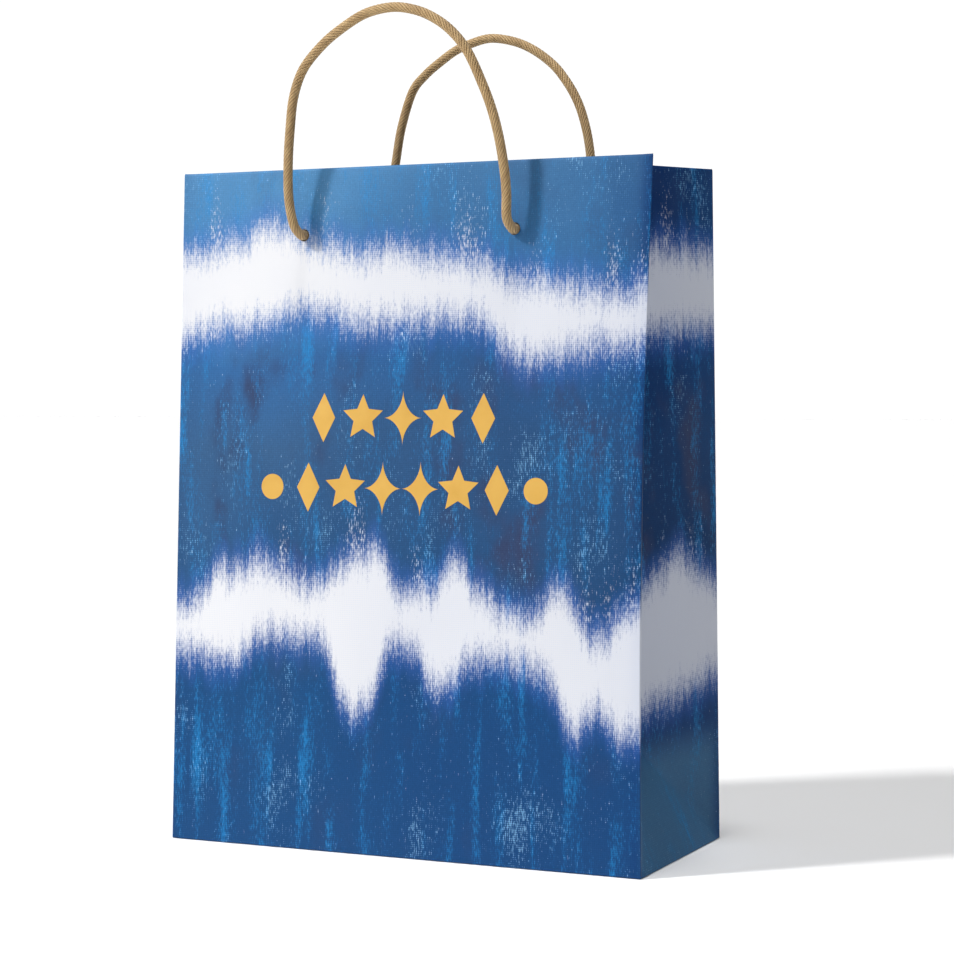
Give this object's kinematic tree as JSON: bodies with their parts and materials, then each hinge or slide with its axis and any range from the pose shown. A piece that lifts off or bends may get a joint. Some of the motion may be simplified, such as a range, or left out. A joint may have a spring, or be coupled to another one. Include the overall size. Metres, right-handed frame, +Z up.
{
  "type": "gift bag",
  "caption": "Upright printed paper gift bag with folding side gussets, a board-stiffened block bottom and twisted rope handles.",
  "frame": {"origin": "on the floor under the middle of the bag", "axes": "+Z up through the mouth; +X across the width, to the right as seen from the front; the front wall faces -Y"},
  "size_m": [0.241, 0.1196, 0.3935],
  "materials": {
    "printed_paper": "satin laminated art paper, tie-dye print on the outside, white inside",
    "reinforcing_card": "uncoated grey card",
    "base_board": "white-lined board",
    "rope": "three-strand twisted paper-and-cotton cord, matt"
  },
  "bodies": {
    "base": {"bottom_outer_flap": "printed_paper", "bottom_inner_flap": "printed_paper", "bottom_left_flap": "printed_paper", "bottom_right_flap": "printed_paper", "base_board": "base_board"},
    "front_wall": {"front_panel": "printed_paper", "front_card": "reinforcing_card", "front_hem": "printed_paper", "front_left_knot": "rope", "front_right_knot": "rope"},
    "back_wall": {"back_panel": "printed_paper", "back_card": "reinforcing_card", "back_hem": "printed_paper", "side_seam_flap": "printed_paper", "back_left_knot": "rope", "back_right_knot": "rope"},
    "right_front_fold": {"right_front_gusset": "printed_paper", "right_front_gusset_hem": "printed_paper"},
    "left_front_fold": {"left_front_gusset": "printed_paper", "left_front_gusset_hem": "printed_paper"},
    "right_rear_fold": {"right_rear_gusset": "printed_paper", "right_rear_gusset_hem": "printed_paper"},
    "left_rear_fold": {"left_rear_gusset": "printed_paper", "left_rear_gusset_hem": "printed_paper"},
    "front_rope_bends": {"front_left_rope_bend": "rope", "front_right_rope_bend": "rope"},
    "front_handle": {"front_handle": "rope"},
    "back_rope_bends": {"back_left_rope_bend": "rope", "back_right_rope_bend": "rope"},
    "back_handle": {"back_handle": "rope"}
  },
  "joints": [
    {"name": "front_wall_tilt", "type": "hinge", "parent": "base", "child": "front_wall", "pos_m": [0, -0.05425, 0.0008], "axis": [-1, 0, 0], "range_deg": [-2.4, 4.5], "stiffness_Nm_per_rad": 1},
    {"name": "back_wall_tilt", "type": "hinge", "parent": "base", "child": "back_wall", "pos_m": [0, 0.05425, 0.0008], "axis": [1, 0, 0], "range_deg": [-2.4, 4.5]},
    {"name": "right_front_gusset_fold", "type": "hinge", "parent": "front_wall", "child": "right_front_fold", "pos_m": [0.1205, -0.05425, 0.0008], "axis": [0.7071, -0.7071, 0], "range_deg": [-3.5, 6.4], "deforming": ["right_front_gusset", "right_front_gusset_hem"]},
    {"name": "left_front_gusset_fold", "type": "hinge", "parent": "front_wall", "child": "left_front_fold", "pos_m": [-0.1205, -0.05425, 0.0008], "axis": [0.7071, 0.7071, 0], "range_deg": [-3.5, 6.4], "deforming": ["left_front_gusset", "left_front_gusset_hem"]},
    {"name": "right_rear_gusset_fold", "type": "hinge", "parent": "back_wall", "child": "right_rear_fold", "pos_m": [0.1205, 0.05425, 0.0008], "axis": [-0.7071, -0.7071, 0], "range_deg": [-3.5, 6.4], "deforming": ["right_rear_gusset", "right_rear_gusset_hem"]},
    {"name": "left_rear_gusset_fold", "type": "hinge", "parent": "back_wall", "child": "left_rear_fold", "pos_m": [-0.1205, 0.05425, 0.0008], "axis": [-0.7071, 0.7071, 0], "range_deg": [-3.5, 6.4], "deforming": ["left_rear_gusset", "left_rear_gusset_hem"]},
    {"name": "front_rope_bend", "type": "hinge", "parent": "front_wall", "child": "front_rope_bends", "pos_m": [0, -0.04509, 0.28863], "axis": [1, 0, 0], "range_deg": [-7, 87]},
    {"name": "front_handle_swing", "type": "hinge", "parent": "front_rope_bends", "child": "front_handle", "pos_m": [0, -0.04968, 0.29323], "axis": [1, 0, 0], "range_deg": [-7, 87]},
    {"name": "back_rope_bend", "type": "hinge", "parent": "back_wall", "child": "back_rope_bends", "pos_m": [0, 0.04509, 0.28863], "axis": [-1, 0, 0], "range_deg": [-7, 87]},
    {"name": "back_handle_swing", "type": "hinge", "parent": "back_rope_bends", "child": "back_handle", "pos_m": [0, 0.04968, 0.29323], "axis": [-1, 0, 0], "range_deg": [-7, 87]}
  ],
  "couplings": [
    {"joint": "back_wall_tilt", "follows": "front_wall_tilt", "ratio": 1},
    {"joint": "right_front_gusset_fold", "follows": "front_wall_tilt", "ratio": 1.4142},
    {"joint": "right_rear_gusset_fold", "follows": "front_wall_tilt", "ratio": 1.4142},
    {"joint": "left_front_gusset_fold", "follows": "front_wall_tilt", "ratio": 1.4142},
    {"joint": "left_rear_gusset_fold", "follows": "front_wall_tilt", "ratio": 1.4142},
    {"joint": "front_rope_bend", "follows": "front_handle_swing", "ratio": 1},
    {"joint": "back_rope_bend", "follows": "back_handle_swing", "ratio": 1}
  ]
}
